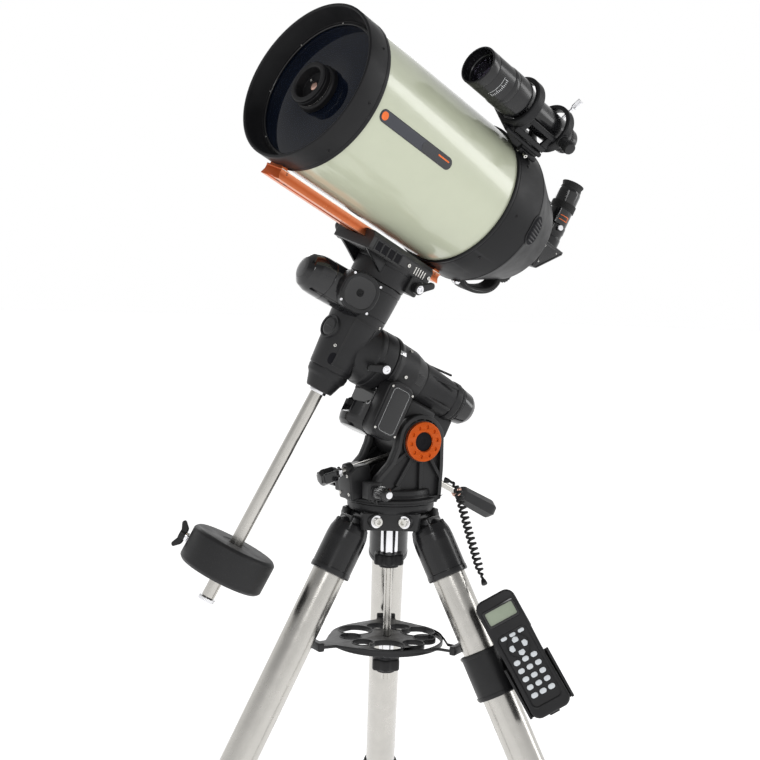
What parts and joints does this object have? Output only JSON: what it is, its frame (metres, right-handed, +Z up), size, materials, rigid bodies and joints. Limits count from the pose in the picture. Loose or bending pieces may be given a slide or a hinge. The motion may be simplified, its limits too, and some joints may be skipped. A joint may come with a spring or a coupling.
{
  "type": "schmidt cassegrain telescope",
  "caption": "Short catadioptric telescope on a German equatorial mount with counterweight, steel-legged tripod, finder, star diagonal and wired hand controller.",
  "frame": {"origin": "on the floor, under the middle of the whole object's box", "axes": "+Z up; polar north towards -X, so the polar axis and the north leg lie in the XZ plane; +Y east"},
  "size_m": [0.8514, 0.865, 1.4954],
  "materials": {
    "casting": "satin black powder coat on die-cast aluminium",
    "cast_iron": "black textured paint",
    "black_plastic": "moulded black, semi-matt",
    "gloss_black": "polished black moulding",
    "rubber": "black rubber",
    "stainless_steel": "brushed along the tube",
    "chrome": "polished",
    "cream_enamel": "smooth pale cream enamel",
    "orange_anodised": "orange anodised, fine brushed",
    "coated_glass": "multi-coated",
    "mirror": "front-aluminised",
    "keypad": "pale grey rubber keys"
  },
  "bodies": {
    "tripod_head": {"tripod_hub": "casting", "centre_rod": "stainless_steel"},
    "mount_bolt": {"mount_bolt_knob": "black_plastic"},
    "tray": {"spreader_tray": "casting"},
    "leg_north": {"leg_socket_north": "casting", "leg_tube_north": "stainless_steel"},
    "lower_leg_north": {"leg_extension_north": "stainless_steel"},
    "leg_lock_north": {"leg_lock_knob_north": "black_plastic"},
    "leg_west": {"leg_socket_west": "casting", "leg_tube_west": "stainless_steel", "handset_holder": "black_plastic", "curly_cord": "black_plastic"},
    "lower_leg_west": {"leg_extension_west": "stainless_steel"},
    "leg_lock_west": {"leg_lock_knob_west": "black_plastic"},
    "leg_east": {"leg_socket_east": "casting", "leg_tube_east": "stainless_steel"},
    "lower_leg_east": {"leg_extension_east": "stainless_steel"},
    "leg_lock_east": {"leg_lock_knob_east": "black_plastic"},
    "tray_nut": {"tray_knob": "black_plastic"},
    "mount_base": {"azimuth_base": "casting", "latitude_ring_west": "orange_anodised", "latitude_ring_east": "orange_anodised"},
    "azimuth_screw_west": {"azimuth_knob_west": "black_plastic"},
    "azimuth_screw_east": {"azimuth_knob_east": "black_plastic"},
    "polar_head": {"polar_housing": "casting", "ra_motor_cover": "gloss_black", "ra_gear_cover": "black_plastic", "polar_cap": "black_plastic"},
    "latitude_bolt_north": {"latitude_screw_north": "stainless_steel"},
    "latitude_bolt_south": {"latitude_screw_south": "stainless_steel"},
    "declination_head": {"dec_housing": "casting", "dec_motor_cover": "gloss_black", "counterweight_bar": "stainless_steel", "bar_stop_screw": "chrome"},
    "ra_clutch": {"ra_clutch_lever": "black_plastic"},
    "weight": {"counterweight": "cast_iron"},
    "weight_screw": {"weight_knob": "black_plastic"},
    "saddle_head": {"saddle": "casting"},
    "dec_clutch": {"dec_clutch_lever": "black_plastic"},
    "saddle_clamp": {"saddle_clamp_knob": "chrome"},
    "saddle_safety": {"saddle_safety_screw": "chrome"},
    "optical_tube": {"dovetail_bar": "orange_anodised", "tube_shell": "cream_enamel", "front_cell": "casting", "corrector_lens": "coated_glass", "secondary_cell": "casting", "rear_cell": "casting", "baffle_tube": "casting", "visual_back": "casting", "finder_bracket": "casting", "finder_tube": "black_plastic", "carry_handle": "rubber"},
    "mirror": {"primary_mirror": "mirror"},
    "focuser": {"focus_knob": "rubber"},
    "mirror_lock": {"mirror_lock_knob": "rubber"},
    "diagonal": {"star_diagonal": "black_plastic"},
    "eyepiece": {"eyepiece": "black_plastic"},
    "finder_adjuster": {"finder_screw": "chrome"},
    "handset": {"hand_controller": "black_plastic", "controller_keypad": "keypad"}
  },
  "joints": [
    {"name": "mount_bolt_turn", "type": "hinge", "parent": "tripod_head", "child": "mount_bolt", "pos_m": [0.0718, 0, 0.78], "axis": [0, 0, 1], "range_deg": [0, 1440]},
    {"name": "leg_north_fold", "type": "hinge", "parent": "tripod_head", "child": "leg_north", "pos_m": [0.0218, 0, 0.764], "axis": [0, -1, 0], "range_deg": [0, 10.5]},
    {"name": "leg_north_extend", "type": "slide", "parent": "leg_north", "child": "lower_leg_north", "axis": [-0.4726, 0, -0.8813], "range_m": [-0.1, 0.36]},
    {"name": "leg_north_lock", "type": "hinge", "parent": "leg_north", "child": "leg_lock_north", "pos_m": [-0.27365, 0, 0.2314], "axis": [-0.8813, 0, 0.4726], "range_deg": [0, 720]},
    {"name": "leg_west_fold", "type": "hinge", "parent": "tripod_head", "child": "leg_west", "pos_m": [0.0968, -0.0433, 0.764], "axis": [0.866, 0.5, 0], "range_deg": [0, 10.5]},
    {"name": "leg_west_extend", "type": "slide", "parent": "leg_west", "child": "lower_leg_west", "axis": [0.2363, -0.4092, -0.8813], "range_m": [-0.1, 0.36]},
    {"name": "leg_west_lock", "type": "hinge", "parent": "leg_west", "child": "leg_lock_west", "pos_m": [0.24452, -0.29917, 0.2314], "axis": [0.4407, -0.7632, 0.4726], "range_deg": [0, 720]},
    {"name": "leg_east_fold", "type": "hinge", "parent": "tripod_head", "child": "leg_east", "pos_m": [0.0968, 0.0433, 0.764], "axis": [-0.866, 0.5, 0], "range_deg": [0, 10.5]},
    {"name": "leg_east_extend", "type": "slide", "parent": "leg_east", "child": "lower_leg_east", "axis": [0.2363, 0.4092, -0.8813], "range_m": [-0.1, 0.36]},
    {"name": "leg_east_lock", "type": "hinge", "parent": "leg_east", "child": "leg_lock_east", "pos_m": [0.24452, 0.29917, 0.2314], "axis": [0.4407, 0.7632, 0.4726], "range_deg": [0, 720]},
    {"name": "tray_drop", "type": "slide", "parent": "tripod_head", "child": "tray", "axis": [0, 0, -1], "range_m": [0, 0.1248]},
    {"name": "tray_nut_turn", "type": "hinge", "parent": "tray", "child": "tray_nut", "pos_m": [0.0718, 0, 0.78], "axis": [0, 0, 1], "range_deg": [0, 1440]},
    {"name": "azimuth", "type": "hinge", "parent": "tripod_head", "child": "mount_base", "pos_m": [0.0718, 0, 0.78], "axis": [0, 0, 1], "range_deg": [-7, 7]},
    {"name": "azimuth_screw_west_turn", "type": "hinge", "parent": "mount_base", "child": "azimuth_screw_west", "pos_m": [0.0138, -0.034, 0.811], "axis": [0, -1, 0], "range_deg": [-720, 720]},
    {"name": "azimuth_screw_east_turn", "type": "hinge", "parent": "mount_base", "child": "azimuth_screw_east", "pos_m": [0.0138, 0.034, 0.811], "axis": [0, 1, 0], "range_deg": [-720, 720]},
    {"name": "latitude", "type": "hinge", "parent": "mount_base", "child": "polar_head", "pos_m": [0.0931, 0, 0.8821], "axis": [0, 1, 0], "range_deg": [-3, 26]},
    {"name": "latitude_bolt_north_travel", "type": "slide", "parent": "mount_base", "child": "latitude_bolt_north", "axis": [-0.9711, 0, -0.2385], "range_m": [-0.0027, 0.0196]},
    {"name": "latitude_bolt_south_travel", "type": "slide", "parent": "mount_base", "child": "latitude_bolt_south", "axis": [0.8934, 0, -0.4493], "range_m": [-0.0223, 0.003]},
    {"name": "right_ascension", "type": "hinge", "parent": "polar_head", "child": "declination_head", "pos_m": [-0.01693, 0, 1.02693], "axis": [-0.9003, 0, 0.4352], "range_deg": [-82, 98]},
    {"name": "ra_clutch_swing", "type": "hinge", "parent": "declination_head", "child": "ra_clutch", "pos_m": [0.02524, -0.04461, 0.9924], "axis": [-0.0643, -0.989, -0.1331], "range_deg": [-25, 25]},
    {"name": "weight_travel", "type": "slide", "parent": "declination_head", "child": "weight", "axis": [-0.4304, 0.1478, -0.8904], "range_m": [-0.12, 0.03]},
    {"name": "weight_screw_turn", "type": "hinge", "parent": "weight", "child": "weight_screw", "pos_m": [-0.17276, 0.05351, 0.70459], "axis": [-0.7647, 0.4643, 0.4468], "range_deg": [0, 720]},
    {"name": "declination", "type": "hinge", "parent": "declination_head", "child": "saddle_head", "pos_m": [-0.01693, 0, 1.02693], "axis": [0.4304, -0.1478, 0.8904], "continuous": true},
    {"name": "dec_clutch_swing", "type": "hinge", "parent": "saddle_head", "child": "dec_clutch", "pos_m": [0.07139, -0.05214, 1.11146], "axis": [0.1569, -0.9592, -0.2351], "range_deg": [-25, 25]},
    {"name": "saddle_clamp_knob_turn", "type": "hinge", "parent": "saddle_head", "child": "saddle_clamp", "pos_m": [-0.00075, -0.01286, 1.18677], "axis": [-0.1569, 0.9592, 0.2351], "range_deg": [0, 720]},
    {"name": "saddle_safety_screw_turn", "type": "hinge", "parent": "saddle_head", "child": "saddle_safety", "pos_m": [0.06681, 0.00545, 1.15715], "axis": [-0.1569, 0.9592, 0.2351], "range_deg": [0, 720]},
    {"name": "tube_in_saddle", "type": "slide", "parent": "saddle_head", "child": "optical_tube", "axis": [-0.8889, -0.2409, 0.3897], "range_m": [-0.04, 0.04]},
    {"name": "mirror_focus", "type": "slide", "parent": "optical_tube", "child": "mirror", "axis": [-0.8889, -0.2409, 0.3897], "range_m": [-0.0025, 0.0025]},
    {"name": "focus_turn", "type": "hinge", "parent": "optical_tube", "child": "focuser", "pos_m": [0.25896, 0.01106, 1.14471], "axis": [-0.8889, -0.2409, 0.3897], "range_deg": [-1080, 1080]},
    {"name": "mirror_lock_turn", "type": "hinge", "parent": "optical_tube", "child": "mirror_lock", "pos_m": [0.31516, -0.02453, 1.25089], "axis": [-0.8889, -0.2409, 0.3897], "range_deg": [0, 720]},
    {"name": "diagonal_turn", "type": "hinge", "parent": "optical_tube", "child": "diagonal", "pos_m": [0.35778, 0.02698, 1.16696], "axis": [-0.8889, -0.2409, 0.3897], "continuous": true},
    {"name": "eyepiece_draw", "type": "slide", "parent": "diagonal", "child": "eyepiece", "axis": [0.4185, -0.0805, 0.9047], "range_m": [0, 0.024]},
    {"name": "finder_screw_turn", "type": "hinge", "parent": "optical_tube", "child": "finder_adjuster", "pos_m": [0.25102, -0.13165, 1.35142], "axis": [0.4537, -0.5808, 0.6758], "range_deg": [0, 720]},
    {"name": "handset_lift", "type": "slide", "parent": "leg_west", "child": "handset", "axis": [-0.5797, -0.7716, 0.262], "range_m": [0, 0.06]}
  ],
  "couplings": [
    {"joint": "leg_west_fold", "follows": "leg_north_fold", "ratio": 1},
    {"joint": "leg_east_fold", "follows": "leg_north_fold", "ratio": 1},
    {"joint": "tray_drop", "follows": "leg_north_fold", "m_per_rad": 0.67},
    {"joint": "latitude_bolt_north_travel", "follows": "latitude", "m_per_rad": 0.042},
    {"joint": "latitude_bolt_south_travel", "follows": "latitude", "m_per_rad": -0.048}
  ]
}
